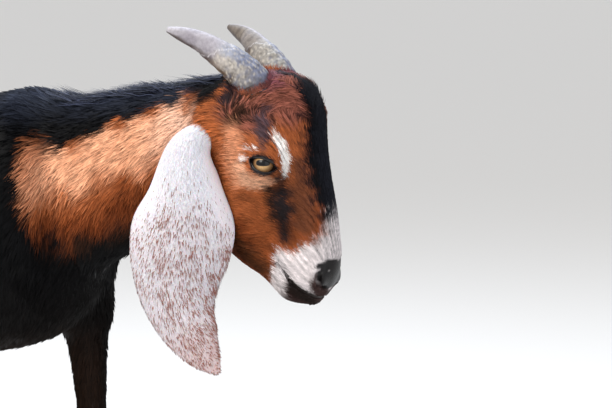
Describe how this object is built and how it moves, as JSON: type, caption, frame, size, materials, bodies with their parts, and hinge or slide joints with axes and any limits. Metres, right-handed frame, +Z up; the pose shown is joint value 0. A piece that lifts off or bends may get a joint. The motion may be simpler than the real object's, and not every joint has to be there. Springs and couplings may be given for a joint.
{
  "type": "goat",
  "caption": "Young Nubian goat standing still at life size, with long hanging ears, a convex face, short horns swept back and a short tail.",
  "frame": {"origin": "on the floor, under the middle of the box around the whole animal", "axes": "+X the way the goat faces, +Y its left side, +Z up"},
  "size_m": [1.0833, 0.2434, 0.7334],
  "materials": {
    "coat_black": "short straight black hair with a soft sheen",
    "coat_chestnut": "short straight chestnut hair, black along the nape and the middle of the face, white about the muzzle",
    "coat_brown": "short flat dark brown hair",
    "ear_roan": "fine white hair flecked with red-brown, dark inside the cup",
    "horn_grey": "weathered grey horn with low rings and fine cracks",
    "eye_amber": "wet amber iris with a level oblong pupil",
    "claw_keratin": "dull dark hoof horn"
  },
  "bodies": {
    "root": {"torso": "coat_black", "neck": "coat_chestnut", "head": "coat_chestnut", "tail": "coat_black", "foreleg_left": "coat_brown", "foreleg_right": "coat_brown", "hindleg_left": "coat_brown", "hindleg_right": "coat_brown", "ear_left": "ear_roan", "ear_right": "ear_roan", "horn_left": "horn_grey", "horn_right": "horn_grey", "eye_left": "eye_amber", "eye_right": "eye_amber", "claw_fore_left_inner": "claw_keratin", "claw_fore_left_outer": "claw_keratin", "claw_fore_right_inner": "claw_keratin", "claw_fore_right_outer": "claw_keratin", "claw_hind_left_inner": "claw_keratin", "claw_hind_left_outer": "claw_keratin", "claw_hind_right_inner": "claw_keratin", "claw_hind_right_outer": "claw_keratin", "dewclaw_fore_left_inner": "claw_keratin", "dewclaw_fore_left_outer": "claw_keratin", "dewclaw_fore_right_inner": "claw_keratin", "dewclaw_fore_right_outer": "claw_keratin", "dewclaw_hind_left_inner": "claw_keratin", "dewclaw_hind_left_outer": "claw_keratin", "dewclaw_hind_right_inner": "claw_keratin", "dewclaw_hind_right_outer": "claw_keratin"}
  },
  "joints": []
}
